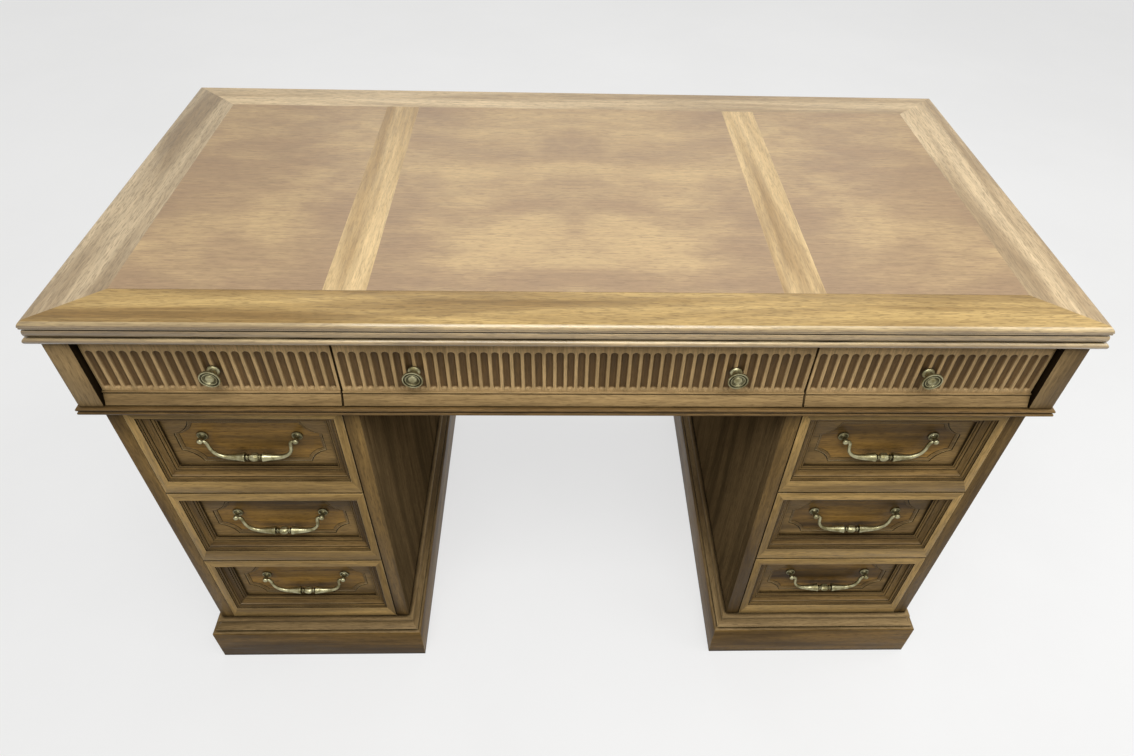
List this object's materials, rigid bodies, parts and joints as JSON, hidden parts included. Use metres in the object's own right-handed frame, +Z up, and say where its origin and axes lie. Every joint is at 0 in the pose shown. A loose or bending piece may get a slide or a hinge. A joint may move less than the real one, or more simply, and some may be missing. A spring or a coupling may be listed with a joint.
{
  "type": "kneehole desk",
  "caption": "Free-standing kneehole writing desk: banded top, fluted frieze drawers, two drawer pedestals with panelled fronts and brass bail pulls that swing.",
  "frame": {"origin": "on the floor under the middle of the desk's outline", "axes": "+X to the right of someone facing the drawers, +Y towards the back, +Z up"},
  "size_m": [1.219, 0.61, 0.762],
  "materials": {
    "walnut": "satin lacquer",
    "walnut_banding": "satin lacquer",
    "walnut_field": "satin lacquer",
    "drawer_timber": "plain",
    "brass": "aged"
  },
  "bodies": {
    "carcass": {"top_border": "walnut_banding", "top_core": "drawer_timber", "top_cross_bands": "walnut_banding", "top_fields": "walnut_field", "waist_moulding": "walnut_banding", "frieze_floor": "drawer_timber", "frieze_posts": "walnut", "frieze_left_end": "walnut", "frieze_right_end": "walnut", "frieze_back": "walnut", "frieze_dividers": "drawer_timber", "drawer_runners": "drawer_timber", "left_inner_side": "walnut", "left_outer_side": "walnut", "left_face_frame": "walnut", "left_pedestal_floor": "drawer_timber", "left_pedestal_back": "walnut", "left_plinth": "walnut", "right_inner_side": "walnut", "right_outer_side": "walnut", "right_face_frame": "walnut", "right_pedestal_floor": "drawer_timber", "right_pedestal_back": "walnut", "right_plinth": "walnut"},
    "frieze_left_drawer": {"frieze_left_front": "walnut", "frieze_left_box": "drawer_timber", "frieze_left_knob": "brass"},
    "frieze_centre_drawer": {"frieze_centre_front": "walnut", "frieze_centre_box": "drawer_timber", "frieze_centre_knobs": "brass"},
    "frieze_right_drawer": {"frieze_right_front": "walnut", "frieze_right_box": "drawer_timber", "frieze_right_knob": "brass"},
    "left_file_drawer": {"left_file_panel": "walnut", "left_file_frame": "walnut", "left_file_box": "drawer_timber", "left_file_pull_posts": "brass"},
    "left_file_lower_bail": {"left_file_lower_bail": "brass"},
    "left_file_upper_bail": {"left_file_upper_bail": "brass"},
    "left_upper_drawer": {"left_upper_panel": "walnut", "left_upper_frame": "walnut", "left_upper_box": "drawer_timber", "left_upper_pull_posts": "brass"},
    "left_upper_bail": {"left_upper_bail": "brass"},
    "right_lower_drawer": {"right_lower_panel": "walnut", "right_lower_frame": "walnut", "right_lower_box": "drawer_timber", "right_lower_pull_posts": "brass"},
    "right_lower_bail": {"right_lower_bail": "brass"},
    "right_middle_drawer": {"right_middle_panel": "walnut", "right_middle_frame": "walnut", "right_middle_box": "drawer_timber", "right_middle_pull_posts": "brass"},
    "right_middle_bail": {"right_middle_bail": "brass"},
    "right_upper_drawer": {"right_upper_panel": "walnut", "right_upper_frame": "walnut", "right_upper_box": "drawer_timber", "right_upper_pull_posts": "brass"},
    "right_upper_bail": {"right_upper_bail": "brass"}
  },
  "joints": [
    {"name": "frieze_left_slide", "type": "slide", "parent": "carcass", "child": "frieze_left_drawer", "axis": [0, -1, 0], "range_m": [0, 0.38]},
    {"name": "frieze_centre_slide", "type": "slide", "parent": "carcass", "child": "frieze_centre_drawer", "axis": [0, -1, 0], "range_m": [0, 0.38]},
    {"name": "frieze_right_slide", "type": "slide", "parent": "carcass", "child": "frieze_right_drawer", "axis": [0, -1, 0], "range_m": [0, 0.38]},
    {"name": "left_file_slide", "type": "slide", "parent": "carcass", "child": "left_file_drawer", "axis": [0, -1, 0], "range_m": [0, 0.38]},
    {"name": "left_file_lower_bail_swing", "type": "hinge", "parent": "left_file_drawer", "child": "left_file_lower_bail", "pos_m": [-0.4285, -0.2705, 0.19925], "axis": [-1, 0, 0], "range_deg": [0, 85]},
    {"name": "left_file_upper_bail_swing", "type": "hinge", "parent": "left_file_drawer", "child": "left_file_upper_bail", "pos_m": [-0.4285, -0.2705, 0.36725], "axis": [-1, 0, 0], "range_deg": [0, 85]},
    {"name": "left_upper_slide", "type": "slide", "parent": "carcass", "child": "left_upper_drawer", "axis": [0, -1, 0], "range_m": [0, 0.38]},
    {"name": "left_upper_bail_swing", "type": "hinge", "parent": "left_upper_drawer", "child": "left_upper_bail", "pos_m": [-0.4285, -0.2705, 0.53525], "axis": [-1, 0, 0], "range_deg": [0, 85]},
    {"name": "right_lower_slide", "type": "slide", "parent": "carcass", "child": "right_lower_drawer", "axis": [0, -1, 0], "range_m": [0, 0.38]},
    {"name": "right_lower_bail_swing", "type": "hinge", "parent": "right_lower_drawer", "child": "right_lower_bail", "pos_m": [0.4285, -0.2705, 0.19925], "axis": [-1, 0, 0], "range_deg": [0, 85]},
    {"name": "right_middle_slide", "type": "slide", "parent": "carcass", "child": "right_middle_drawer", "axis": [0, -1, 0], "range_m": [0, 0.38]},
    {"name": "right_middle_bail_swing", "type": "hinge", "parent": "right_middle_drawer", "child": "right_middle_bail", "pos_m": [0.4285, -0.2705, 0.36725], "axis": [-1, 0, 0], "range_deg": [0, 85]},
    {"name": "right_upper_slide", "type": "slide", "parent": "carcass", "child": "right_upper_drawer", "axis": [0, -1, 0], "range_m": [0, 0.38]},
    {"name": "right_upper_bail_swing", "type": "hinge", "parent": "right_upper_drawer", "child": "right_upper_bail", "pos_m": [0.4285, -0.2705, 0.53525], "axis": [-1, 0, 0], "range_deg": [0, 85]}
  ]
}
